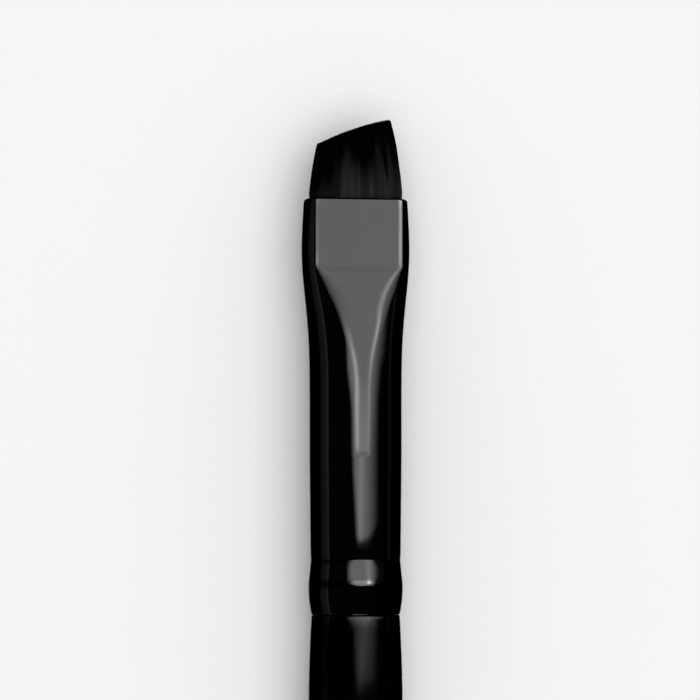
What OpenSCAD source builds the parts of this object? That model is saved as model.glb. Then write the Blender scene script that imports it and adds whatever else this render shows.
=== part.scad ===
// Angled makeup brush, lying on its side with the hair towards +X and a pressed flat facing up.
// Each piece is drawn upright about the Z axis first: the mouth of the ferrule is at z = 0, the
// hair is above it and the handle below. Y is the brush's width and X its thickness there.
// Distances called s run down from the mouth, and lie_down() turns a piece onto its side.

/* [Tuft] */
// Height of the cut above the mouth on its long side
tuft_long = 5.75; // [4.5:0.05:9]
// Height of the cut above the mouth on its short side
tuft_short = 3.95; // [2:0.05:6]
// How far the cut bows up between its two ends
cut_bow = 0.25; // [0:0.05:0.8]
// Rounding of the two corners of the cut
cut_corner = 0.35; // [0.1:0.05:0.8]
// How much narrower the hair is at the cut than at the mouth
cut_narrowing = 1.2; // [0:0.05:2.5]
// Thickness of the hair at the cut
tip_t = 0.8; // [0.4:0.05:2]
// Depth of the hair's root inside the ferrule
root_depth = 4.5; // [3:0.1:8]
// Depth of the furrows between strands, as a share of the bundle
strand_furrow = 0.035; // [0.01:0.005:0.08]

/* [Ferrule] */
// Outer diameter of the round tube
barrel_d = 6.58; // [5.4:0.01:8]
// How much wider than the tube the pressed mouth is
mouth_flare = 0.83; // [0.4:0.01:1.6]
// How much wider than the tube the flattened end is at its widest
widest_flare = 1.17; // [0.5:0.01:2]
// Distance from the mouth to the widest place
widest_at = 3.5; // [1:0.1:4.8]
// Outer thickness across the two pressed flats
flats_t = 3.1; // [2:0.05:4.2]
// Length of the pressed flats
flats_len = 4.93; // [4:0.01:9]
// Length of the ramp from the flats up to the round tube
ramp_len = 8.67; // [5:0.01:14]
// Length of the faint tongue that the press leaves beyond the ramp
tongue_len = 4.9; // [2:0.1:8]
// Depth of that tongue below the round tube
tongue_depth = 0.03; // [0.02:0.01:0.12]
// Length of the plain tube from the tongue to the crimp groove
barrel_len = 7.5; // [4:0.1:20]
// How much thinner the tube is where it reaches the crimp groove
barrel_taper = 0.14; // [0:0.01:0.4]
// Depth of the crimp groove
groove_depth = 0.03; // [0.01:0.005:0.08]
// Length from the crimp groove over the bead to the end of the ferrule
crimp_len = 4; // [2.5:0.1:8]
// Height of the crimp bead above the tube beside it
bead_rise = 0.155; // [0.05:0.005:0.4]
// How far the end of the ferrule is turned in below the tube beside it
turn_in = 0.07; // [0.02:0.005:0.14]
// Wall of the ferrule
wall = 0.35; // [0.2:0.01:0.6]
// Rounding of the mouth's outer edge
lip_r = 0.22; // [0.05:0.01:0.3]
// Softness of the creases beside the pressed flats
crease = 0.14; // [0.05:0.01:0.4]

/* [Glue plug] */
// Length of the glue behind the hair's root
plug_len = 5.5; // [2:0.1:9]

/* [Handle] */
// Length of the handle beyond the ferrule
handle_len = 134.2; // [110:0.1:180]
// Diameter of the handle at its grip, here the bead's own, so that the brush lies on both
grip_d = 6.75; // [6.4:0.05:12]
// Length over which the handle swells from the ferrule to the grip
swell_len = 6.3; // [4:0.1:24]
// Length of the straight grip
grip_len = 46; // [30:0.5:60]
// Diameter of the handle's tail
tail_d = 4; // [2.5:0.1:6]

/* [Fit] */
// Clearance between the ferrule's bore and what it holds
clearance = 0.03; // [0.02:0.005:0.08]

/* [Hidden] */

// Places along the ferrule, down from the mouth
ramp_end = flats_len + ramp_len;
tongue_end = ramp_end + tongue_len;
groove_at = tongue_end + barrel_len;
ferrule_len = groove_at + crimp_len;
plug_end = root_depth + plug_len;
// The tube is back to its round width at this share of the ramp
round_share = 0.83;
round_at = flats_len + round_share * ramp_len;
// Lengths over which the tongue ends and the crimp groove falls in
tongue_fade = 0.3;
groove_fall = 0.4;

barrel_r = barrel_d / 2;
mouth_half_w = (barrel_d + mouth_flare) / 2;
widest_half_w = (barrel_d + widest_flare) / 2;
barrel_end_r = (barrel_d - barrel_taper) / 2;
groove_r = barrel_end_r - groove_depth;
bead_r = barrel_end_r + bead_rise;
end_r = barrel_end_r - turn_in;
grip_r = grip_d / 2;
tail_r = tail_d / 2;
// The rounding of the mouth's edge takes at most this share of the wall
lip_share = 0.7;
mouth_edge_r = min(lip_r, lip_share * wall);
// Far enough from the axis to press nothing
unpressed_d = max(barrel_r, bead_r) + crease;

// The tube is never pressed thinner than this share of its radius before the flats
thinnest_share = 0.5;
// Smallest sine that a flat's distance is divided by
least_sine = 0.01;

// Shapes of the curves
belly_power = 1.5;
ramp_power = 2.2;
bead_skew = 1.15;
taper_power = 1.6;
thinning_power = 1.6;
narrowing_power = 1.5;

// Numbers of steps
around_steps = 60;
ramp_steps = 10;
crimp_steps = 8;
hair_steps = 9;
swell_steps = 8;
taper_steps = 14;
tail_steps = 8;
turn_fn = 96;

function mix(low, high, t) = low + (high - low) * t;
function share(value, low, high) = min(1, max(0, (value - low) / (high - low)));
function smooth(t) = t * t * (3 - 2 * t);
function soft_min(p, q, k) = min(p, q) - pow(max(k - abs(p - q), 0), 2) / (4 * k);

// Half the ferrule's width at s: it grows to the widest place, then narrows to the round tube
function half_w(s) = s < widest_at
    ? mix(widest_half_w, mouth_half_w, pow(1 - s / widest_at, belly_power))
    : mix(widest_half_w, round_r(s), smooth(share(s, widest_at, round_at)));

// Half its thickness before the flats are pressed: the tube keeps its perimeter as it widens
function half_t(s) =
    let (r = round_r(s))
    sqrt(max(2 * r * r - pow(half_w(s), 2), pow(thinnest_share * r, 2)));

// Distance of the pressed surface from the axis: flats, then the ramp, then the faint tongue
function press_d(s) = s <= ramp_end
    ? mix(barrel_r - tongue_depth, flats_t / 2, pow(1 - share(s, flats_len, ramp_end), ramp_power))
    : mix(barrel_r - tongue_depth, unpressed_d, share(s, tongue_end - tongue_fade, tongue_end));

// Radius of the round tube: a slight taper, then the crimp groove, the bead and the turned-in end
function round_r(s) = s < groove_at
    ? mix(barrel_r, barrel_end_r, share(s, tongue_end, groove_at - groove_fall))
      - (barrel_end_r - groove_r) * share(s, groove_at - groove_fall, groove_at)
    : let (t = (s - groove_at) / crimp_len, base = mix(groove_r, end_r, t))
      base + (bead_r - mix(groove_r, end_r, 0.5)) * sin(180 * pow(t, bead_skew));

// One cross-section of the ferrule at s, moved in by inset, as points about the axis
function section(s, inset) = [
    for (i = [0 : around_steps - 1])
        let (turn = 360 * i / around_steps, a = half_w(s) - inset, b = half_t(s) - inset)
        let (oval = a * b / norm([b * cos(turn), a * sin(turn)]))
        let (flat = (press_d(s) - inset) / max(abs(sin(turn)), least_sine))
        soft_min(oval, flat, crease) * [sin(turn), cos(turn)]
];

// The places along the ferrule where its form is given
ferrule_places = concat(
    [0, mouth_edge_r / 3, mouth_edge_r, widest_at / 2, widest_at],
    [for (i = [0 : ramp_steps]) flats_len + ramp_len * i / ramp_steps],
    [tongue_end - tongue_fade, tongue_end, groove_at - groove_fall],
    [for (i = [0 : crimp_steps]) groove_at + crimp_len * i / crimp_steps]
);
function places(low, high) = concat([low], [for (s = ferrule_places) if (s > low && s < high) s], [high]);
function upwards(list) = [for (i = [len(list) - 1 : -1 : 0]) list[i]];

// How far the mouth's rounded edge moves the outer wall in at s
function lip(s) = mouth_edge_r - sqrt(pow(mouth_edge_r, 2) - pow(max(mouth_edge_r - s, 0), 2));
function ring(s, inset) = [for (p = section(s, inset)) [p[0], p[1], -s]];
bore_inset = wall + clearance;

// The hair fills the mouth, and narrows and thins from there to the cut
mouth_ring = ring(0, bore_inset);
hair_half_w = max([for (p = mouth_ring) p[1]]);
hair_half_t = max([for (p = mouth_ring) p[0]]);
cut_half_w = hair_half_w - cut_narrowing / 2;

// Height of the slanted cut at e, which is -1 on the short side and 1 on the long side
function cut_height(e) =
    let (corner = cut_corner / cut_half_w, c = max(0, (abs(e) - 1 + corner) / corner))
    mix(tuft_short, tuft_long, (1 + e) / 2) + cut_bow * (1 - e * e)
    - cut_corner * (1 - sqrt(max(0, 1 - c * c)));

// A ring of the hair at the share t of its height, from the mouth to the cut
function hair_ring(t) =
    let (across = mix(1, cut_half_w / hair_half_w, pow(t, narrowing_power)))
    let (thick = mix(1, tip_t / 2 / hair_half_t, pow(t, thinning_power)))
    [for (p = mouth_ring) [p[0] * thick, p[1] * across, t * cut_height(-p[1] / hair_half_w)]];

// Strands: a furrow between each two points of a ring
function strands(points) = [
    for (i = [0 : around_steps - 1])
        let (p = points[i], middle = (p + points[(i + 1) % around_steps]) / 2, low = 1 - strand_furrow)
        each [p, [middle[0] * low, middle[1] * low, middle[2]]]
];

root_rings = [for (s = upwards(places(0, root_depth))) if (s > 0) strands(ring(s, bore_inset))];
tuft_rings = concat(root_rings, [for (i = [0 : hair_steps]) strands(hair_ring(i / hair_steps))]);
tuft_reach = max([for (p = tuft_rings[len(tuft_rings) - 1]) p[2]]);

total_len = tuft_reach + ferrule_len + handle_len;
rest_height = max(grip_r, bead_r, barrel_r);

// Faces between two rings of n points, facing out, from the number of each ring's first point
function band(lower, upper, n) = [
    for (i = [0 : n - 1])
        let (j = (i + 1) % n)
        each [[lower + i, upper + j, upper + i], [lower + i, lower + j, upper + j]]
];
function wall_faces(start, count, n) = [
    for (k = [0 : count - 2]) each band(start + k * n, start + (k + 1) * n, n)
];
// Faces across a flat or slanted end, from one side of the ring to the other
function strip(start, n) = [
    for (i = [0 : n / 2 - 1])
        let (near = [start + i, start + i + 1], far = [start + n - i - 1, start + (n - i) % n])
        each [
            if (i < n / 2 - 1) [near[0], near[1], far[0]],
            if (i < n / 2 - 1 && i > 0) [near[0], far[0], far[1]],
            if (i == n / 2 - 1) [near[0], near[1], far[1]]
        ]
];
function turned_over(faces) = [for (f = faces) [f[0], f[2], f[1]]];

// A solid through the given rings, from the lowest to the highest
module solid(rings) {
    n = len(rings[0]);
    count = len(rings);
    polyhedron(
        points = [for (r = rings) each r],
        faces = concat(
            wall_faces(0, count, n),
            turned_over(strip(0, n)),
            strip((count - 1) * n, n)
        )
    );
}

// A tube between outer and inner rings, both from the lowest to the highest
module tube(outer, inner) {
    n = len(outer[0]);
    count = len(outer);
    first_inner = count * n;
    top = (count - 1) * n;
    polyhedron(
        points = [for (r = concat(outer, inner)) each r],
        faces = concat(
            wall_faces(0, count, n),
            turned_over(wall_faces(first_inner, count, n)),
            band(top, first_inner + top, n),
            band(first_inner, 0, n)
        )
    );
}

module lie_down() {
    translate([total_len / 2 - tuft_reach, 0, rest_height]) rotate([0, 90, 0]) children();
}

module tuft() {
    color([0.05, 0.05, 0.05]) lie_down() solid(tuft_rings);
}

module ferrule() {
    s_list = upwards(places(0, ferrule_len));
    outer = [for (s = s_list) ring(s, lip(s))];
    inner = [for (s = s_list) ring(s, wall)];
    color([0.13, 0.13, 0.14]) lie_down() tube(outer, inner);
}

module glue_plug() {
    rings = [for (s = upwards(places(root_depth, plug_end))) ring(s, bore_inset)];
    color([0.78, 0.7, 0.5]) lie_down() solid(rings);
}

// Radius of the handle at h beyond the ferrule
function handle_r(h) = h < swell_len ? mix(end_r, grip_r, sin(90 * h / swell_len))
    : mix(grip_r, tail_r, pow(share(h, swell_len + grip_len, handle_len - tail_r), taper_power));

module handle() {
    tenon_places = places(tongue_end + clearance, ferrule_len);
    taper_at = swell_len + grip_len;
    taper_len = handle_len - tail_r - taper_at;
    turned_places = concat(
        [for (i = [0 : swell_steps]) swell_len * i / swell_steps],
        [for (i = [0 : taper_steps]) taper_at + taper_len * i / taper_steps]
    );
    tail_arc = [
        for (i = [1 : tail_steps])
            let (turn = 90 * i / tail_steps)
            [tail_r * cos(turn), -ferrule_len - handle_len + tail_r * (1 - sin(turn))]
    ];
    outline = concat(
        [[0, -tenon_places[0]]],
        [for (s = tenon_places) [round_r(s) - bore_inset, -s]],
        [for (h = turned_places) [handle_r(h), -ferrule_len - h]],
        tail_arc
    );
    color([0.06, 0.06, 0.06]) lie_down() rotate_extrude($fn = turn_fn) polygon(outline);
}

tuft();
ferrule();
glue_plug();
handle();
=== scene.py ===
# Angled makeup brush: slanted hair, pressed black ferrule and turned handle, lying on a pale table
import math

import bmesh
import bpy
import numpy as np
from mathutils import Matrix, Vector


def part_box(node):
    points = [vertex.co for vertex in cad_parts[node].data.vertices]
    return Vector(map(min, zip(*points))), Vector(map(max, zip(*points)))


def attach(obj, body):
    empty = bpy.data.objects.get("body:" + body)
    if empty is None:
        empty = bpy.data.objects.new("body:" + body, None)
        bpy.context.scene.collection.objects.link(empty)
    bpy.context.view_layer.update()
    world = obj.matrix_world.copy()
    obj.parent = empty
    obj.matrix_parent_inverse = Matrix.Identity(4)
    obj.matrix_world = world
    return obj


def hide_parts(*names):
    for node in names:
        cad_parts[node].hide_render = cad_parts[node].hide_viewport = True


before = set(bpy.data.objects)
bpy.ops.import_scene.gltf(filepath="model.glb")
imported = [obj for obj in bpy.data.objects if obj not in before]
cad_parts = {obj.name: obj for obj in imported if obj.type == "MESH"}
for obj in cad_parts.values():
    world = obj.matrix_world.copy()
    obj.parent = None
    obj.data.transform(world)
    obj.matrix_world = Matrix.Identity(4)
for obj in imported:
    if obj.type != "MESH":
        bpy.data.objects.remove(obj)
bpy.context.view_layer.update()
mm = 0.001

# The ferrule is measured in millimetres down from its mouth, as s
ferrule = {
    "barrelD": 6.63, "mouthFlare": 0.88, "widestFlare": 1.21, "widestAt": 3.5, "bellyPower": 1.5,
    "neckLen": 4.93, "neckPower": 2.12, "thinnestShare": 0.5,
    "flatsT": 3.1, "flatsLen": 4.98, "foldSoft": 0.09, "rampLen": 9.8, "rampPower": 3.0, "roundShare": 0.73,
    "tongueLen": 3.82, "tongueDepth": 0.034, "tongueEndDepth": 0.032, "tongueFade": 0.3,
    "clearRise": 2, "clearShare": 0.3,
    "crease": 0.26, "rampCrease": 0.5, "tongueCrease": 0.01,
    "creaseLead": 0.3, "creaseShare": 0.2, "creasePower": 0.5,
    "barrelLen": 7.30, "barrelTaper": 0.14,
    "grooveDepth": 0.03, "grooveFall": 0.45, "groovePower": 1.4, "grooveSoft": 0.1,
    "crimpLen": 3.96, "beadRise": 0.14, "crownAt": 1.74, "crownLen": 0.55, "crownDrop": 0.006, "crownSoft": 0.012,
    "turnIn": 0.07, "endPower": 1.7,
    "wall": 0.35, "lipR": 0.22, "rimR": 0.08, "mouthEdge": 0.03, "boreInset": 0.37,
    "quarterSteps": 60, "runShare": 0.55, "bendSpan": 9, "leastSine": 0.01,
}
rampEnd = ferrule["flatsLen"] + ferrule["rampLen"]
tongueEnd = rampEnd + ferrule["tongueLen"]
grooveAt = tongueEnd + ferrule["barrelLen"]
ferruleLen = grooveAt + ferrule["crimpLen"]
roundAt = ferrule["flatsLen"] + ferrule["roundShare"] * ferrule["rampLen"]
barrelR = ferrule["barrelD"] / 2
barrelEndR = barrelR - ferrule["barrelTaper"] / 2
grooveR = barrelEndR - ferrule["grooveDepth"]
beadR = barrelEndR + ferrule["beadRise"]
endR = barrelEndR - ferrule["turnIn"]
quarterTurn = np.linspace(0, math.pi / 2, 1441)

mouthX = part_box("ferrule")[1].x
handleLow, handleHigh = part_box("handle")
axisZ = (handleLow.z + handleHigh.z) / 2


def mix(low, high, t):
    return low + (high - low) * t


def share(value, low, high):
    return np.clip((value - low) / (high - low), 0, 1)


def smooth(t):
    return t * t * (3 - 2 * t)


def bell(distance, width):
    return np.exp(-(distance / width) ** 2)


def softMin(p, q, k):
    return np.minimum(p, q) - np.maximum(k - np.abs(p - q), 0) ** 2 / (4 * k)


def softMax(p, q, k):
    return -softMin(-p, -q, k)


def roundR(s):
    f = ferrule
    if s < grooveAt:
        fallAt = grooveAt - f["grooveFall"]
        taper = mix(barrelR, barrelEndR, share(s, tongueEnd, fallAt))
        return taper - f["grooveDepth"] * share(s, fallAt, grooveAt) ** f["groovePower"]
    past = s - grooveAt
    crownEnd = f["crownAt"] + f["crownLen"]
    if past > crownEnd:
        t = min((past - crownEnd) / (f["crimpLen"] - crownEnd), 1)
        return mix(beadR - f["crownDrop"], endR, t ** f["endPower"])
    soft = f["grooveSoft"]
    rise = grooveR + (beadR - grooveR) * (math.hypot(past, soft) - soft) / (f["crownAt"] - soft)
    crown = beadR - f["crownDrop"] * max(past - f["crownAt"], 0) / f["crownLen"]
    return float(softMin(rise, crown, f["crownSoft"]))


def halfWidth(s):
    f = ferrule
    widest = barrelR + f["widestFlare"] / 2
    if s < f["widestAt"]:
        return mix(widest, barrelR + f["mouthFlare"] / 2, (1 - s / f["widestAt"]) ** f["bellyPower"])
    return mix(widest, roundR(s), 1 - math.exp(-((s - f["widestAt"]) / f["neckLen"]) ** f["neckPower"]))


# A tube that is pressed wider grows thinner
def halfThickness(s):
    r = roundR(s)
    return math.sqrt(max(2 * r * r - halfWidth(s) ** 2, (ferrule["thinnestShare"] * r) ** 2))


# How far the pressed surface lies from the axis: flats, concave ramp, faint tongue, then clear of the tube
def pressed(s):
    f = ferrule
    flat = f["flatsT"] / 2
    depth = mix(f["tongueDepth"], f["tongueEndDepth"], share(s, rampEnd, tongueEnd))
    if s > rampEnd:
        fading = smooth(share(s, tongueEnd - f["tongueFade"], tongueEnd))
        clear = f["clearRise"] * share(s, tongueEnd - f["clearShare"] * f["tongueFade"], tongueEnd)
        return barrelR - depth * (1 - fading) + clear
    ramp = mix(barrelR - depth, flat, (1 - (s - f["flatsLen"]) / f["rampLen"]) ** f["rampPower"])
    return float(softMax(flat, ramp, f["foldSoft"]))


# Softness of the crease: sharp beside the flats, round down the ramp, and sharp again at the tongue
def creaseAt(s):
    f = ferrule
    start, middle = f["flatsLen"], f["flatsLen"] + f["creaseShare"] * f["rampLen"]
    if s < middle:
        return mix(f["crease"], f["rampCrease"], smooth(share(s, start - f["creaseLead"], middle)))
    return mix(f["rampCrease"], f["tongueCrease"], share(s, middle, roundAt) ** f["creasePower"])


def ovalR(s, turn, inset=0):
    a, b = halfWidth(s) - inset, halfThickness(s) - inset
    return a * b / np.hypot(b * np.cos(turn), a * np.sin(turn))


def flatR(s, turn, inset=0):
    return (pressed(s) - inset) / np.maximum(np.abs(np.sin(turn)), ferrule["leastSine"])


def radiusAt(s, turn, inset=0):
    return softMin(ovalR(s, turn, inset), flatR(s, turn, inset), creaseAt(s))


# One quarter of a section, with its points gathered where the outline turns
def quarterTurns(s, inset, steps):
    f = ferrule
    r = radiusAt(s, quarterTurn, inset)
    y, z = r * np.cos(quarterTurn), r * np.sin(quarterTurn)
    run = np.hypot(np.diff(y), np.diff(z))
    heading = np.unwrap(np.arctan2(np.diff(z), np.diff(y)))
    bend = np.abs(np.diff(heading, prepend=heading[0]))
    bend = np.convolve(bend, np.ones(f["bendSpan"]) / f["bendSpan"], mode="same")
    weight = f["runShare"] * run / run.sum() + (1 - f["runShare"]) * bend / max(bend.sum(), 1e-9)
    total = np.concatenate([[0], np.cumsum(weight)])
    return np.interp(np.linspace(0, total[-1], steps + 1), total, quarterTurn)


def ferruleRing(s, inset, x=None):
    quarter = quarterTurns(s, inset, ferrule["quarterSteps"])
    back = quarter[:0:-1]
    turns = np.concatenate([quarter[:-1], math.pi - back, math.pi + quarter[:-1], 2 * math.pi - back])
    quarterR = radiusAt(s, quarter, inset)
    r = np.tile(np.concatenate([quarterR[:-1], quarterR[:0:-1]]), 2)
    along = np.full(len(turns), mouthX - (s if x is None else x) * mm)
    return np.column_stack([along, r * np.cos(turns) * mm, r * np.sin(turns) * mm + axisZ])


def roundRing(x, r, around):
    turns = np.linspace(0, 2 * math.pi, around, endpoint=False)
    return np.column_stack([np.full(around, x), r * np.cos(turns), r * np.sin(turns) + axisZ])


def ringFaces(count, around, closed=False):
    faces = []
    for k in range(count if closed else count - 1):
        low, high = k * around, ((k + 1) % count) * around
        for i in range(around):
            j = (i + 1) % around
            faces.append((low + i, low + j, high + j, high + i))
    return faces


def shifted(faces, by):
    return [tuple(by + v for v in face) for face in faces]


def addPiece(name, points, faces, smoothShade=True):
    mesh = bpy.data.meshes.new(name)
    mesh.from_pydata([tuple(p) for p in points], [], faces)
    mesh.validate()
    mesh.update()
    if smoothShade:
        mesh.polygons.foreach_set("use_smooth", [True] * len(mesh.polygons))
    piece = bpy.data.objects.new(name, mesh)
    bpy.context.scene.collection.objects.link(piece)
    return piece


# The outline starts and ends on the axis
def lathe(name, outline, around):
    rings = [roundRing(x, max(r, 0), around) for x, r in outline[1:-1]]
    points = np.vstack([[[outline[0][0], 0, axisZ]]] + rings + [[[outline[-1][0], 0, axisZ]]])
    faces = [(0, 1 + (i + 1) % around, 1 + i) for i in range(around)]
    faces += shifted(ringFaces(len(rings), around), 1)
    last, tip = 1 + (len(rings) - 1) * around, 1 + len(rings) * around
    faces += [(last + i, last + (i + 1) % around, tip) for i in range(around)]
    return addPiece(name, points, faces)


def fixNormals(piece):
    work = bmesh.new()
    work.from_mesh(piece.data)
    bmesh.ops.recalc_face_normals(work, faces=work.faces)
    work.to_mesh(piece.data)
    work.free()


# A number for each point of the mesh, which a material reads by its name
def keepValues(piece, name, values):
    layer = piece.data.attributes.new(name, "FLOAT", "POINT")
    layer.data.foreach_set("value", values.astype(np.float32))


# Shine is painted light: how much brighter than its plating a place looks, and below zero painted shade, how much
# duller. A crease gets a painted highlight as the lists say at s, on the hair's long side (-y) and on its short side.
paintedShineLists = {
    "at": [0, 0.35, 0.9, 3.8, 4.5, 5.2, 7.5, 9.5, 11.5, 14, 17.8, 18.6],
    "longSide": [2.6, 1.5, 1.0, 1.05, 1.0, 0.4, 0.4, 0.6, 0.35, 0.15, 0.1, 0],
    "shortSide": [1.2, 0.2, 0.08, 0.15, 0.5, 0.0, 0.0, 0.15, 0.85, 0.95, 0.55, 0],
    "width": 0.14, "inward": 0.3, "inwardFrom": (4.9, 6), "inwardTo": (7.5, 9.5),
    "foldShade": 0.04, "foldPast": 0.07, "foldWidth": 0.13, "foldEnds": (0.4, 0.7),
    "lip": 0.22, "lipWidth": 0.13, "lipFlat": 0.7,
    "beadShade": 0.48, "beadShadeAt": (0.62, 1.2), "cornerShade": 0.5, "cornerWidth": 0.3, "cornerAt": (0.55, 1.05),
    "crown": 0.55, "crownBack": 0.13, "crownWidth": 0.12, "crownEnds": (0.5, 1.0),
    "sparkle": 1.5, "sparkleY": -0.42, "sparkleWidth": 0.12, "least": -0.5,
}


def creaseShine(s, y, z):
    v = paintedShineLists
    shine = np.zeros(len(y))
    crossed = np.argmax(flatR(s, quarterTurn) < ovalR(s, quarterTurn))
    if not crossed:
        return shine
    turn = quarterTurn[crossed]
    r = radiusAt(s, turn)
    creaseY, creaseZ = r * math.cos(turn), r * math.sin(turn)
    for side, name in ((-1, "longSide"), (1, "shortSide")):
        inward = v["inward"] * smooth(share(s, *v["inwardFrom"])) * (1 - smooth(share(s, *v["inwardTo"]))) * (side < 0)
        away = np.hypot(y - side * (creaseY - inward), np.abs(z) - creaseZ) / (1 + inward)
        shine += np.interp(s, v["at"], v[name]) * bell(away, v["width"])
    # Painted shade along the fold where the flats turn into the ramp
    inFold = bell(s - ferrule["flatsLen"] - v["foldPast"], v["foldWidth"])
    return shine - v["foldShade"] * inFold * (1 - smooth(share(np.abs(y) / creaseY, *v["foldEnds"])))


# The bead gets painted shade on the long side and at the corners of its highlight, and a painted highlight on its
# crown
def beadShine(past, y, z):
    v, crown = paintedShineLists, ferrule["crownAt"]
    paintedShade = v["beadShade"] * smooth(share(-y, *v["beadShadeAt"])) * (z > 0)
    ends = bell(past, v["cornerWidth"]) + bell(past - crown, v["cornerWidth"])
    paintedShade += v["cornerShade"] * ends * smooth(share(np.abs(y), *v["cornerAt"]))
    bright = v["crown"] * (1 - smooth(share(np.abs(y), *v["crownEnds"])))
    bright += v["sparkle"] * bell(y - v["sparkleY"], v["sparkleWidth"])
    return bell(past - crown + v["crownBack"], v["crownWidth"]) * bright * (z > 0) - paintedShade


def ringShine(s, ring):
    v = paintedShineLists
    y, z = ring[:, 1] / mm, (ring[:, 2] - axisZ) / mm
    shine = creaseShine(s, y, z)
    # A painted highlight along the lip of the mouth
    shine += v["lip"] * bell(s, v["lipWidth"]) * (np.abs(z) > v["lipFlat"] * pressed(s))
    if s > grooveAt:
        shine += beadShine(s - grooveAt, y, z)
    return np.maximum(shine, v["least"])


# Where the rings of the ferrule's outside lie: closer together where its outline turns
def ringPlaces():
    flatsLen = ferrule["flatsLen"]
    return np.concatenate([
        [ferrule["lipR"] * (1 - math.cos(math.radians(a))) for a in range(0, 91, 9)],
        np.arange(0.4, flatsLen - 0.3, 0.2),
        np.linspace(flatsLen - 0.25, flatsLen + 0.35, 13),
        np.arange(flatsLen + 0.5, rampEnd, 0.13),
        np.arange(rampEnd, tongueEnd - 0.3, 0.2),
        np.linspace(tongueEnd - 0.28, tongueEnd + 0.06, 12),
        np.arange(tongueEnd + 0.3, grooveAt - 0.5, 0.45),
        np.linspace(grooveAt - 0.45, grooveAt + 0.1, 12),
        np.arange(grooveAt + 0.2, ferruleLen - 0.12, 0.08),
    ])


def buildFerrule():
    f = ferrule
    rings, shine = [], []
    for s in ringPlaces():
        left = max(f["lipR"] - s, 0)
        rings.append(ferruleRing(s, f["lipR"] - math.sqrt(f["lipR"] ** 2 - left ** 2)))
        shine.append(ringShine(s, rings[-1]))
    for degrees in range(0, 91, 15):  # the turned-in rim
        t = math.radians(degrees)
        rings.append(ferruleRing(ferruleLen - f["rimR"] * (1 - math.sin(t)), f["rimR"] * (1 - math.cos(t))))
    for s in (ferruleLen, grooveAt, tongueEnd, rampEnd, 11, 9, 7, f["flatsLen"], 3.5, 2, 1, 0.4, 0.1):
        rings.append(ferruleRing(s, f["wall"]))
    rings.append(ferruleRing(f["mouthEdge"], f["wall"] - f["mouthEdge"], x=0.0))
    around = 4 * f["quarterSteps"]
    piece = addPiece("ferrule_shell", np.vstack(rings), ringFaces(len(rings), around, closed=True))
    fixNormals(piece)
    shine = np.concatenate(shine)
    keepValues(piece, "paintedShine", np.concatenate([shine, np.zeros(len(piece.data.vertices) - len(shine))]))
    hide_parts("ferrule")
    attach(piece, "root")
    print("ferrule:", len(piece.data.polygons), "faces")
    return piece


# The handle is measured in millimetres down from the ferrule's end, as h. Its shoulder gets a painted highlight and
# its sides a painted sheen brighter than its top, and the hair's short side gets painted shade near the ferrule.
handle = {
    "length": 134.34, "gripD": 6.75, "swellLen": 6.3, "gripLen": 46, "tailD": 4.0, "taperPower": 1.6,
    "shoulderR": 0.12, "seam": 0.02, "stubLen": 2.5, "stubInsets": (0.45, 0.4, 0.35), "around": 144,
    "shoulderShine": 1.5, "shoulderEnds": (-0.3, 1.05), "shortSideShade": 0.48, "shadeAt": (0.2, 0.8),
    "shadeEnds": (3, 8), "sideShine": 1.9, "sideAngles": (65, 90),
    "swellFrom": 0.3, "swellRings": 40, "gripGap": 1, "gripRings": 40, "taperGap": 0.8, "taperRings": 90,
}
gripEnd = handle["swellLen"] + handle["gripLen"]
handleX = mouthX - ferruleLen * mm


def handleR(h):
    v = handle
    if h < v["swellLen"]:
        return mix(endR, v["gripD"] / 2, math.sin(math.pi / 2 * h / v["swellLen"]))
    t = share(h, gripEnd, v["length"] - v["tailD"] / 2)
    return mix(v["gripD"] / 2, v["tailD"] / 2, t ** v["taperPower"])


def handleShine(piece):
    v = handle
    x, y, z = np.array([p.co for p in piece.data.vertices]).T
    h, y, z = (handleX - x) / mm, y / mm, (z - axisZ) / mm
    paintedShade = v["shortSideShade"] * smooth(share(y, *v["shadeAt"])) * (1 - smooth(share(h, *v["shadeEnds"])))
    sides = smooth(share(np.degrees(np.arctan2(np.abs(y), z)), *v["sideAngles"]))
    shoulder = v["shoulderShine"] * (1 - smooth(share(h, *v["shoulderEnds"])))
    return shoulder - paintedShade * (1 - sides) + v["sideShine"] * sides


def buildHandle():
    v = handle
    tailR = v["tailD"] / 2
    stubHeights = (-v["stubLen"], 0, v["seam"])
    outline = [(-v["stubLen"], 0)] + [(h, endR - inset) for h, inset in zip(stubHeights, v["stubInsets"])]
    for degrees in range(0, 91, 15):
        t = math.radians(degrees)
        h = v["seam"] + v["shoulderR"] * (1 - math.cos(t))
        outline.append((h, handleR(h) - v["shoulderR"] * (1 - math.sin(t))))
    places = [*np.linspace(v["swellFrom"], v["swellLen"], v["swellRings"]),
              *np.linspace(v["swellLen"] + v["gripGap"], gripEnd, v["gripRings"]),
              *np.linspace(gripEnd + v["taperGap"], v["length"] - tailR, v["taperRings"])]
    outline += [(h, handleR(h)) for h in places]
    for degrees in range(6, 91, 6):
        t = math.radians(degrees)
        outline.append((v["length"] - tailR * (1 - math.sin(t)), tailR * math.cos(t)))
    piece = lathe("handle_turned", [(handleX - h * mm, r * mm) for h, r in outline], v["around"])
    fixNormals(piece)
    keepValues(piece, "paintedShine", handleShine(piece))
    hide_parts("handle")
    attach(piece, "root")
    print("handle:", len(piece.data.polygons), "faces")
    return piece
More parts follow.
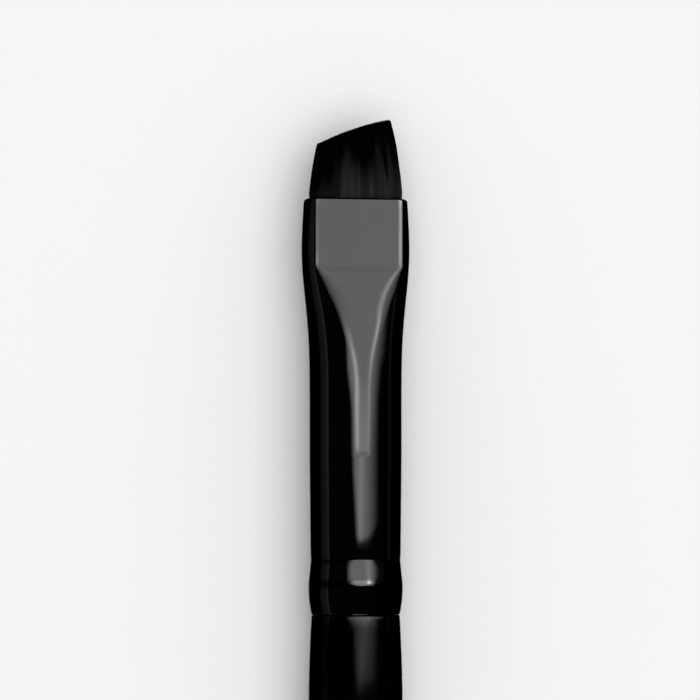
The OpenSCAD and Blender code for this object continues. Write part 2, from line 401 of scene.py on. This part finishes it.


# The hair's own shape, then its filaments, and last the painted light: how far and how strongly it reaches from the
# root, which changes in patches across the tuft
tuft = {
    "long": 5.83, "short": 3.96, "cutBow": 0.25, "cutCorner": 0.35, "shortCorner": 0.12, "cutNarrowing": 1.62,
    "tipT": 0.8, "shortSideNarrowing": 1.2, "narrowPower": 1.5, "thinPower": 1.6, "rootDepth": 1.2,
    "coreDepth": 0.6, "coreRoot": (0.95, 0.93), "coreSize": (0.93, 0.88), "coreTop": 0.96, "coreRings": 14,
    "hairs": 3600, "hairR": 0.034, "along": 11, "sides": 3, "seed": 7, "spread": (0.85, 1.15),
    "tipFrom": 0.6, "tipShare": 0.35, "skinShare": 0.72, "skinSpacing": 0.2, "skinDepth": 0.07, "skinPower": 1.5,
    "innerShare": 0.95, "ragged": 0.035, "shorterShare": 0.06, "shorterBy": 0.25, "rootPinch": 0.97,
    "stray": 0.02, "strayY": 3, "strayZ": 1.5,
    "patchEnd": 4.3, "patchStart": -4, "patchWidth": 0.3,
    "litFrom": 0.03, "litLow": 0.3, "litHigh": 1.05, "litShort": 0.6, "litShortAt": (0.6, 3),
    "levelLow": 0.35, "levelHigh": 1.3, "darkLevel": 0.3, "darkAt": (1.1, 1.8), "paleLevel": 1.4,
    "paleAt": (0.3, 1.5), "coreLevel": 0.1,
    "rootTone": 0.021, "toneSpread": (0.7, 1.3), "toneScale": 3000, "rough": (0.5, 0.65), "specular": 0.01,
}
mouthRing = ferruleRing(0, ferrule["boreInset"])
ringY, ringZ = mouthRing[:, 1] / mm, (mouthRing[:, 2] - axisZ) / mm
hairHalfW, hairHalfT = ringY.max(), ringZ.max()


# Height of the slanted cut, from -1 on the short side to 1 on the long side
def cutHeight(e):
    v = tuft
    halfCut = hairHalfW - v["cutNarrowing"] / 2
    corner = np.where(e < 0, v["shortCorner"], v["cutCorner"]) / halfCut
    c = np.clip((np.abs(e) - 1 + corner) / corner, 0, 1)
    straight = mix(v["short"], v["long"], (1 + e) / 2) + v["cutBow"] * (1 - e * e)
    return straight - corner * halfCut * (1 - np.sqrt(1 - c * c))


# Where the hair at the mouth's place (y, z) is at the height share t, all in millimetres
def hairPoint(y, z, t):
    v = tuft
    narrowing = np.where(y > 0, v["shortSideNarrowing"], v["cutNarrowing"])
    across = mix(1, (hairHalfW - narrowing / 2) / hairHalfW, t ** v["narrowPower"])
    thick = mix(1, v["tipT"] / 2 / hairHalfT, t ** v["thinPower"])
    return t * cutHeight(-y / hairHalfW), y * across, z * thick


def inFrame(up, y, z):
    return np.stack([mouthX + up * mm, y * mm, z * mm + axisZ], axis=-1)


def buildCore():
    v = tuft
    y, z = ringY[::4], ringZ[::4]
    rootY, rootZ = y * v["coreRoot"][0], z * v["coreRoot"][1]
    rings = [inFrame(np.full(len(y), -depth), rootY, rootZ) for depth in (v["rootDepth"], v["coreDepth"])]
    for t in np.linspace(0, v["coreTop"], v["coreRings"]):
        rings.append(inFrame(*hairPoint(y * v["coreSize"][0], z * v["coreSize"][1], t)))
    n = len(y)
    faces = ringFaces(len(rings), n) + [tuple(range(n))[::-1], tuple(range((len(rings) - 1) * n, len(rings) * n))]
    return np.vstack(rings), faces


ringTurn = np.arctan2(ringZ, ringY) % (2 * math.pi)
turnOrder = np.argsort(ringTurn)
turnTable, radiusTable = ringTurn[turnOrder], np.hypot(ringY, ringZ)[turnOrder]


# A filament's place in the mouth, or None where the draw misses. The skin's lie along the ring, spread by its length.
def drawRoot(rng, skin):
    v = tuft
    if skin:
        i = rng.integers(len(ringY))
        mid = rng.random()
        j = (i + 1) % len(ringY)
        if rng.random() > np.hypot(ringY[i] - ringY[j], ringZ[i] - ringZ[j]) / v["skinSpacing"]:
            return None
        depth = 1 - v["skinDepth"] * rng.random() ** v["skinPower"]
        return mix(ringY[i], ringY[j], mid) * depth, mix(ringZ[i], ringZ[j], mid) * depth
    y, z = (rng.random() * 2 - 1) * hairHalfW, (rng.random() * 2 - 1) * hairHalfT
    most = np.interp(math.atan2(z, y) % (2 * math.pi), turnTable, radiusTable) * v["innerShare"]
    return None if np.hypot(y, z) > most else (y, z)


# The line that a filament follows from its place in the mouth, and its radius along it
def drawLine(rng, y0, z0):
    v = tuft
    reach = 1 - v["ragged"] * rng.random() ** 2
    if rng.random() < v["shorterShare"]:
        reach = 1 - v["shorterBy"] * rng.random()
    bendY, bendZ = rng.normal(0, v["stray"], 2)
    t = np.linspace(0, 1, v["along"]) * reach
    up, y, z = hairPoint(np.full(v["along"], y0), np.full(v["along"], z0), t)
    up[0] = -v["rootDepth"]
    y[0], z[0] = y0 * v["rootPinch"], z0 * v["rootPinch"]
    y += bendY * t ** 2 * v["strayY"]
    z += bendZ * t ** 2 * v["strayZ"]
    limit = hairPoint(np.full(v["along"], np.sign(y0) * hairHalfW), np.zeros(v["along"]), t)[1]
    y = np.where(np.abs(y) > np.abs(limit), limit, y)
    tip = mix(1, v["tipShare"], smooth(share(t, v["tipFrom"], 1)))
    return t, up, y, z, v["hairR"] * mix(*v["spread"], rng.random()) * tip


def buildTuft():
    v = tuft
    rng = np.random.default_rng(v["seed"])
    corePoints, faces = buildCore()
    # The core gets a low level of the painted light, a painted shade between the filaments
    points, light, start = [corePoints], [np.full(len(corePoints), v["coreLevel"])], len(corePoints)
    patches = np.arange(v["patchStart"], v["patchEnd"], v["patchWidth"])
    reachTable, levelTable = rng.random(len(patches)), rng.random(len(patches))
    n, count = v["sides"], v["along"] * v["sides"]
    tubeFaces = ringFaces(v["along"], n) + [tuple(range(n))[::-1], tuple(range(count - n, count))]
    made = 0
    while made < v["hairs"]:
        root = drawRoot(rng, made < v["skinShare"] * v["hairs"])
        if root is None:
            continue
        y0 = root[0]
        t, up, y, z, r = drawLine(rng, *root)
        turns = rng.random() * 2 * math.pi + 2 * math.pi * np.arange(n) / n
        # Painted light and shade: paler near the root, in patches, paler on the long side and darker on the short side
        lit = mix(v["litLow"], v["litHigh"], np.interp(y0, patches, reachTable))
        lit *= mix(1, v["litShort"], share(y0, *v["litShortAt"]))
        level = mix(v["levelLow"], v["levelHigh"], np.interp(y0, patches, levelTable))
        level *= mix(*v["spread"], rng.random())
        level *= mix(1, v["darkLevel"], smooth(share(y0, *v["darkAt"])))
        level *= mix(1, v["paleLevel"], share(-y0, *v["paleAt"]))
        light.append(np.repeat(level * (1 - smooth(share(t, v["litFrom"], lit))), n))
        aroundY, aroundZ = np.outer(r, np.cos(turns)), np.outer(r, np.sin(turns))
        tube = inFrame(np.repeat(up[:, None], n, axis=1), y[:, None] + aroundY, z[:, None] + aroundZ)
        points.append(tube.reshape(-1, 3))
        faces += shifted(tubeFaces, start)
        start += count
        made += 1
    piece = addPiece("hair_bundle", np.vstack(points), faces)
    fixNormals(piece)
    keepValues(piece, "hairLight", np.concatenate(light))
    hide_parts("tuft")
    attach(piece, "root")
    print("hair:", made, "hairs,", len(piece.data.polygons), "faces")
    return piece


def mathNode(tree, operation, a, b=None, c=None):
    node = tree.nodes.new("ShaderNodeMath")
    node.operation = operation
    for socket, value in zip(node.inputs, (a, b, c)):
        if value is None:
            continue
        if isinstance(value, (int, float)):
            socket.default_value = value
        else:
            tree.links.new(value, socket)
    return node.outputs[0]


def rangeNode(tree, value, lows, highs, kind="LINEAR"):
    node = tree.nodes.new("ShaderNodeMapRange")
    node.interpolation_type = kind
    tree.links.new(value, node.inputs["Value"])
    for name, item in zip(("From Min", "From Max", "To Min", "To Max"), (*lows, *highs)):
        if isinstance(item, (int, float)):
            node.inputs[name].default_value = item
        else:
            tree.links.new(item, node.inputs[name])
    return node.outputs["Result"]


def scaleNode(tree, colour, factor):
    node = tree.nodes.new("ShaderNodeVectorMath")
    node.operation = "SCALE"
    tree.links.new(colour, node.inputs[0])
    tree.links.new(factor, node.inputs["Scale"])
    return node.outputs[0]


def attributeNode(tree, name):
    node = tree.nodes.new("ShaderNodeAttribute")
    node.attribute_name = name
    return node.outputs["Fac"]


def newMaterial(name):
    material = bpy.data.materials.new(name)
    material.use_nodes = True
    tree = material.node_tree
    tree.nodes.clear()
    out = tree.nodes.new("ShaderNodeOutputMaterial")
    shader = tree.nodes.new("ShaderNodeBsdfPrincipled")
    tree.links.new(shader.outputs["BSDF"], out.inputs["Surface"])
    return material, tree, shader


# Faint unevenness for every finish: a colour, a roughness and a height that change over the surface
def buildUnevenGroup():
    group = bpy.data.node_groups.new("unevenFinish", "ShaderNodeTree")
    for name, kind, value in (("Scale", "NodeSocketFloat", 400), ("Stretch", "NodeSocketVector", (1, 1, 1)),
                              ("Colour A", "NodeSocketColor", (0.03, 0.03, 0.03, 1)),
                              ("Colour B", "NodeSocketColor", (0.04, 0.04, 0.04, 1)),
                              ("Rough A", "NodeSocketFloat", 0.05), ("Rough B", "NodeSocketFloat", 0.1)):
        group.interface.new_socket(name, in_out="INPUT", socket_type=kind).default_value = value
    for name, kind in (("Colour", "NodeSocketColor"), ("Roughness", "NodeSocketFloat"), ("Height", "NodeSocketFloat")):
        group.interface.new_socket(name, in_out="OUTPUT", socket_type=kind)
    add, link = group.nodes.new, group.links.new
    inp, out = add("NodeGroupInput"), add("NodeGroupOutput")
    place = add("ShaderNodeTexCoord")
    stretch = add("ShaderNodeVectorMath")
    stretch.operation = "MULTIPLY"
    noise = add("ShaderNodeTexNoise")
    noise.inputs["Detail"].default_value = 3
    link(place.outputs["Object"], stretch.inputs[0])
    link(inp.outputs["Stretch"], stretch.inputs[1])
    link(stretch.outputs[0], noise.inputs["Vector"])
    link(inp.outputs["Scale"], noise.inputs["Scale"])
    colour = add("ShaderNodeMix")
    colour.data_type = "RGBA"
    link(noise.outputs["Fac"], colour.inputs["Factor"])
    link(inp.outputs["Colour A"], colour.inputs["A"])
    link(inp.outputs["Colour B"], colour.inputs["B"])
    noiseSpread = (0.3, 0.7)
    rough = rangeNode(group, noise.outputs["Fac"], noiseSpread, (inp.outputs["Rough A"], inp.outputs["Rough B"]))
    link(colour.outputs["Result"], out.inputs["Colour"])
    link(rough, out.inputs["Roughness"])
    link(noise.outputs["Fac"], out.inputs["Height"])
    return group


# Painted light and shade: the base colour grows brighter with the mesh's painted shine, and darker where it is below
# zero
def buildEdgeGroup():
    group = bpy.data.node_groups.new("paintedShineGroup", "ShaderNodeTree")
    for name, kind, value in (("Colour", "NodeSocketColor", (0.03, 0.03, 0.03, 1)), ("Shine", "NodeSocketFloat", 0),
                              ("Strength", "NodeSocketFloat", 1)):
        group.interface.new_socket(name, in_out="INPUT", socket_type=kind).default_value = value
    group.interface.new_socket("Colour", in_out="OUTPUT", socket_type="NodeSocketColor")
    inp, out = group.nodes.new("NodeGroupInput"), group.nodes.new("NodeGroupOutput")
    grow = mathNode(group, "MULTIPLY_ADD", inp.outputs["Shine"], inp.outputs["Strength"], 1)
    group.links.new(scaleNode(group, inp.outputs["Colour"], grow), out.inputs["Colour"])
    return group


def useGroup(tree, group, values):
    node = tree.nodes.new("ShaderNodeGroup")
    node.node_tree = group
    for name, value in values.items():
        node.inputs[name].default_value = value
    return node


def linkBump(tree, shader, height, strength, distance):
    bump = tree.nodes.new("ShaderNodeBump")
    bump.inputs["Strength"].default_value = strength
    bump.inputs["Distance"].default_value = distance
    tree.links.new(height, bump.inputs["Height"])
    tree.links.new(bump.outputs["Normal"], shader.inputs["Normal"])


uneven = buildUnevenGroup()
paintedShineGroup = buildEdgeGroup()
# A black plated or lacquered gloss, with painted shade over its reflections: it is dark where it turns away, but less
# so on its upper and its lowest parts, which the cosines of their angles to upward mark.
gloss = {
    "plating": 0.0267, "lacquer": 0.0064, "platingRough": 0.022, "lacquerRough": 0.1, "shine": 1.9,
    "scale": 900, "colourLow": (0.97, 0.97, 0.98), "colourHigh": (1.03, 1.03, 1.04), "roughSpread": (0.8, 1.2),
    "bump": 0.05, "bumpDistance": 0.00001, "edgeTint": 0.08, "topTint": 0.9, "lowLevel": 0.7,
    "sideFacing": (0.15, 0.25), "sideLevel": 0.2,
    "upward": (0, 0.162, 0.987), "topTintAt": (0.643, 0.755), "topLevelAt": (0.857, 0.899), "lowAt": (0.05, 0.26),
}


def glossMaterial(name, f0, rough, stretch):
    v = gloss
    material, tree, shader = newMaterial(name)
    node = useGroup(tree, uneven, {"Scale": v["scale"], "Stretch": stretch,
                                   "Colour A": (*(f0 * part for part in v["colourLow"]), 1),
                                   "Colour B": (*(f0 * part for part in v["colourHigh"]), 1),
                                   "Rough A": rough * v["roughSpread"][0], "Rough B": rough * v["roughSpread"][1]})
    edges = useGroup(tree, paintedShineGroup, {"Strength": v["shine"]})
    tree.links.new(node.outputs["Colour"], edges.inputs["Colour"])
    tree.links.new(attributeNode(tree, "paintedShine"), edges.inputs["Shine"])
    facing = tree.nodes.new("ShaderNodeLayerWeight").outputs["Facing"]
    side = rangeNode(tree, facing, v["sideFacing"], (1, v["sideLevel"]), "SMOOTHSTEP")
    place = tree.nodes.new("ShaderNodeTexCoord")
    upper = tree.nodes.new("ShaderNodeVectorMath")
    upper.operation = "DOT_PRODUCT"
    upper.inputs[1].default_value = v["upward"]
    tree.links.new(place.outputs["Normal"], upper.inputs[0])
    cosine = upper.outputs["Value"]
    # Painted shade on the flanks: their grazing tint is near black, and only the upper parts keep a bright tint
    topTint = rangeNode(tree, cosine, v["topTintAt"], (v["edgeTint"], v["topTint"]), "SMOOTHSTEP")
    topLevel = rangeNode(tree, cosine, v["topLevelAt"], (0, 1), "SMOOTHSTEP")
    lowLevel = rangeNode(tree, cosine, v["lowAt"], (v["lowLevel"], 0), "SMOOTHSTEP")
    kept = mathNode(tree, "MAXIMUM", mathNode(tree, "MAXIMUM", side, topLevel), lowLevel)
    tree.links.new(scaleNode(tree, edges.outputs["Colour"], kept), shader.inputs["Base Color"])
    tree.links.new(topTint, shader.inputs["Specular Tint"])
    tree.links.new(node.outputs["Roughness"], shader.inputs["Roughness"])
    linkBump(tree, shader, node.outputs["Height"], v["bump"], v["bumpDistance"])
    shader.inputs["Metallic"].default_value = 1
    return material


def plainMaterial(name, v):
    material, tree, shader = newMaterial(name)
    node = useGroup(tree, uneven, {"Scale": v["scale"], "Colour A": (*v["low"], 1), "Colour B": (*v["high"], 1),
                                   "Rough A": v["rough"] * 0.9, "Rough B": min(v["rough"] * 1.1, 1)})
    tree.links.new(node.outputs["Colour"], shader.inputs["Base Color"])
    tree.links.new(node.outputs["Roughness"], shader.inputs["Roughness"])
    linkBump(tree, shader, node.outputs["Height"], v["bump"], v["bumpDistance"])
    shader.inputs["Specular IOR Level"].default_value = v["specular"]
    return material


# Black filaments, greyer towards their roots by the mesh's hairLight, which is painted light
def hairMaterial():
    v = tuft
    material, tree, shader = newMaterial("blackHair")
    dark, pale = (v["rootTone"] * part for part in v["toneSpread"])
    node = useGroup(tree, uneven, {"Scale": v["toneScale"], "Stretch": (0.1, 1, 1),
                                   "Colour A": (dark, dark, dark, 1), "Colour B": (pale, pale, pale, 1),
                                   "Rough A": v["rough"][0], "Rough B": v["rough"][1]})
    colour = scaleNode(tree, node.outputs["Colour"], attributeNode(tree, "hairLight"))
    tree.links.new(colour, shader.inputs["Base Color"])
    tree.links.new(node.outputs["Roughness"], shader.inputs["Roughness"])
    shader.inputs["Specular IOR Level"].default_value = v["specular"]
    return material


ferrulePiece = buildFerrule()
handlePiece = buildHandle()
hairPiece = buildTuft()
ferrulePiece.data.materials.append(glossMaterial("blackPlating", gloss["plating"], gloss["platingRough"], (0.2, 1, 1)))
handlePiece.data.materials.append(glossMaterial("blackLacquer", gloss["lacquer"], gloss["lacquerRough"], (0.5, 1, 1)))
hairPiece.data.materials.append(hairMaterial())

glue = {"low": (0.6, 0.48, 0.28), "high": (0.66, 0.54, 0.33), "rough": 0.3, "scale": 500, "specular": 0.3,
        "bump": 0.1, "bumpDistance": 0.00002}
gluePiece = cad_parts["glue_plug"]
gluePiece.data.materials.clear()
gluePiece.data.materials.append(plainMaterial("setGlue", glue))

table = {"half": 1.6, "steps": 8, "low": (0.80, 0.80, 0.80), "high": (0.82, 0.82, 0.82), "rough": 0.9, "scale": 40,
         "specular": 0.1, "bump": 0.1, "bumpDistance": 0.00002}


def buildTable():
    v = table
    across = v["steps"] + 1
    grid = np.linspace(-v["half"], v["half"], across)
    points = [(x, y, 0) for x in grid for y in grid]
    faces = [(i * across + j, (i + 1) * across + j, (i + 1) * across + j + 1, i * across + j + 1)
             for i in range(v["steps"]) for j in range(v["steps"])]
    piece = addPiece("table_top", points, faces, False)
    piece.data.materials.append(plainMaterial("paleTable", v))
    print("table:", 2 * v["half"], "m wide")


buildTable()

# The camera looks down on the head, tilted by two angles in degrees. Lens, sensor, aim and shift are in millimetres.
view = {"lens": 200, "sensor": 36, "clipStart": 0.01, "distance": 0.28, "tailward": 2.5, "sideways": 9.3,
        "aim": 10.86, "shift": 0.403}
middleX = mouthX - view["aim"] * mm


def buildCamera():
    v = view
    t, w = math.radians(v["tailward"]), math.radians(v["sideways"])
    towards = Vector((-math.sin(t), math.sin(w) * math.cos(t), math.cos(w) * math.cos(t)))
    right = Vector((1, 0, 0)).cross(towards).normalized()
    up = towards.cross(right).normalized()
    aim = Vector((middleX, 0, axisZ)) - right * v["shift"] * mm
    camera = bpy.data.objects.new("camera", bpy.data.cameras.new("camera"))
    turned = Matrix((right, up, towards)).transposed().to_4x4()
    camera.matrix_world = Matrix.Translation(aim + towards * v["distance"]) @ turned
    camera.data.lens = v["lens"]
    camera.data.sensor_width = v["sensor"]
    camera.data.clip_start = v["clipStart"]
    bpy.context.scene.collection.objects.link(camera)
    bpy.context.scene.camera = camera
    print("camera:", [round(c, 4) for c in camera.location])


buildCamera()

# The softbox hangs over the brush: x runs to the head and y to the hair's short side, from the aim, in metres.
# At each of its places along x it ends at leftEdge on the short side, give or take leftSoft, and on the long
# side it fades between two angles in degrees. A brighter band crosses it, bandAt towards the long side.
softbox = {
    "height": 0.45, "lowX": -0.04, "highX": 0.8, "lowY": -1.3, "highY": 0.55, "radiance": 4.25,
    "tailEdge": -0.025, "tailSoft": 0.0008, "headEdge": 0.72, "headSoft": 0.05,
    "placesX": [-0.03, -0.012, 0, 0.01, 0.02, 0.03, 0.05, 0.07, 0.12, 0.18, 0.26],
    "leftEdge": [0.01, 0.107, 0.1225, 0.135, 0.192, 0.228, 0.232, 0.225, 0.18, 0.145, 0.14],
    "leftSoft": [0.06, 0.06, 0.06, 0.06, 0.06, 0.06, 0.065, 0.075, 0.13, 0.2, 0.26],
    "fadeFrom": [6, 6, 9, 20, 24, 26, 27, 26, 16, 12, 10],
    "fadeTo": [54, 54, 53, 52, 54, 57, 63, 72, 84, 88, 80],
    "bandAt": [0.003, 0.037, 0.065, 0.115, 0.14, 0.165, 0.2, 0.193, 0.24, 0.24, 0.24],
    "bandWidth": 0.055, "bandLevel": 0.4,
}
# The wide lamp and the ambient light show what is matt, and the strip behind the tail is mirrored only in views
# from the head's side. The background is pale where the camera looks, or the gloss near the horizon.
studio = {
    "lampSize": 1.5, "lampY": -0.15, "lampHeight": 1.1, "lampRadiance": 1.15,
    "stripLong": 1.0, "stripWide": 0.4, "stripEdge": -0.3, "stripY": -0.03, "stripRadiance": 4.0,
    "ambient": 0.72, "mirrorLevel": 0.03, "background": 0.93, "horizonAt": (0.1, 0.2),
}


# An area lamp that is either only mirrored or only lights what is matt
def addLamp(name, place, sizeX, sizeY, radiance, mirrored):
    data = bpy.data.lights.new(name, "AREA")
    data.shape = "RECTANGLE"
    data.size, data.size_y = sizeX, sizeY
    data.energy = radiance * math.pi * sizeX * sizeY
    lamp = bpy.data.objects.new(name, data)
    lamp.location = place
    lamp.visible_camera = False
    lamp.visible_glossy, lamp.visible_diffuse = mirrored, not mirrored
    bpy.context.scene.collection.objects.link(lamp)
    return data


# A value that follows the softbox's list along x
def curveNode(tree, x, name, most=1):
    low, high = softbox["placesX"][0], softbox["placesX"][-1]
    node = tree.nodes.new("ShaderNodeFloatCurve")
    curve = node.mapping.curves[0]
    places = [((at - low) / (high - low), value / most) for at, value in zip(softbox["placesX"], softbox[name])]
    curve.points[0].location, curve.points[1].location = places[0], places[-1]
    for place in places[1:-1]:
        curve.points.new(*place)
    for point in curve.points:
        point.handle_type = "VECTOR"
    node.mapping.update()
    tree.links.new(rangeNode(tree, x, (low, high), (0, 1)), node.inputs["Value"])
    return mathNode(tree, "MULTIPLY", node.outputs["Value"], most)


def buildSoftbox():
    v = softbox
    middle = (middleX + (v["lowX"] + v["highX"]) / 2, (v["lowY"] + v["highY"]) / 2, v["height"])
    data = addLamp("softbox", middle, v["highX"] - v["lowX"], v["highY"] - v["lowY"], v["radiance"], True)
    data.use_nodes = True
    tree = data.node_tree
    split = tree.nodes.new("ShaderNodeSeparateXYZ")
    tree.links.new(tree.nodes.new("ShaderNodeNewGeometry").outputs["Position"], split.inputs[0])
    x, y = mathNode(tree, "SUBTRACT", split.outputs["X"], middleX), split.outputs["Y"]
    tail = rangeNode(tree, x, (v["tailEdge"] - v["tailSoft"], v["tailEdge"] + v["tailSoft"]), (0, 1), "SMOOTHSTEP")
    head = rangeNode(tree, x, (v["headEdge"] - v["headSoft"], v["headEdge"] + v["headSoft"]), (1, 0), "SMOOTHSTEP")
    edge, soft = curveNode(tree, x, "leftEdge"), curveNode(tree, x, "leftSoft")
    leftEnds = mathNode(tree, "SUBTRACT", edge, soft), mathNode(tree, "ADD", edge, soft)
    left = rangeNode(tree, y, leftEnds, (1, 0), "SMOOTHSTEP")
    angle = mathNode(tree, "ARCTANGENT", mathNode(tree, "MULTIPLY", y, -1 / v["height"]))
    fadeEnds = curveNode(tree, x, "fadeFrom", 90), curveNode(tree, x, "fadeTo", 90)
    fade = rangeNode(tree, mathNode(tree, "DEGREES", angle), fadeEnds, (1, 0), "SMOOTHSTEP")
    off = mathNode(tree, "DIVIDE", mathNode(tree, "ADD", y, curveNode(tree, x, "bandAt")), v["bandWidth"])
    band = mathNode(tree, "EXPONENT", mathNode(tree, "MULTIPLY", mathNode(tree, "MULTIPLY", off, off), -1))
    total = mathNode(tree, "MULTIPLY", mathNode(tree, "MULTIPLY", tail, left), mathNode(tree, "MULTIPLY", fade, head))
    total = mathNode(tree, "MULTIPLY", total, mathNode(tree, "MULTIPLY_ADD", band, v["bandLevel"], 1))
    tree.links.new(total, tree.nodes["Emission"].inputs["Strength"])


def buildWorld():
    v = studio
    world = bpy.data.worlds.new("studio")
    world.use_nodes = True
    tree = world.node_tree
    path, place = tree.nodes.new("ShaderNodeLightPath"), tree.nodes.new("ShaderNodeTexCoord")
    split = tree.nodes.new("ShaderNodeSeparateXYZ")
    tree.links.new(place.outputs["Generated"], split.inputs[0])
    horizon = rangeNode(tree, split.outputs["Z"], v["horizonAt"], (1, 0), "SMOOTHSTEP")
    mirrored = rangeNode(tree, horizon, (0, 1), (v["mirrorLevel"], v["background"]))
    plain = rangeNode(tree, path.outputs["Is Camera Ray"], (0, 1), (v["ambient"], v["background"]))
    level = rangeNode(tree, path.outputs["Is Glossy Ray"], (0, 1), (plain, mirrored))
    tree.nodes["Background"].inputs["Color"].default_value = (1, 1, 1, 1)
    tree.links.new(level, tree.nodes["Background"].inputs["Strength"])
    bpy.context.scene.world = world


def buildLights():
    v = studio
    buildSoftbox()
    addLamp("wideLamp", (0, v["lampY"], v["lampHeight"]), v["lampSize"], v["lampSize"], v["lampRadiance"], False)
    stripPlace = (v["stripEdge"] - v["stripLong"] / 2, v["stripY"], softbox["height"])
    addLamp("tailStrip", stripPlace, v["stripLong"], v["stripWide"], v["stripRadiance"], True)
    buildWorld()
    bpy.context.scene.view_settings.view_transform = "Standard"
    print("lights: ready")


buildLights()
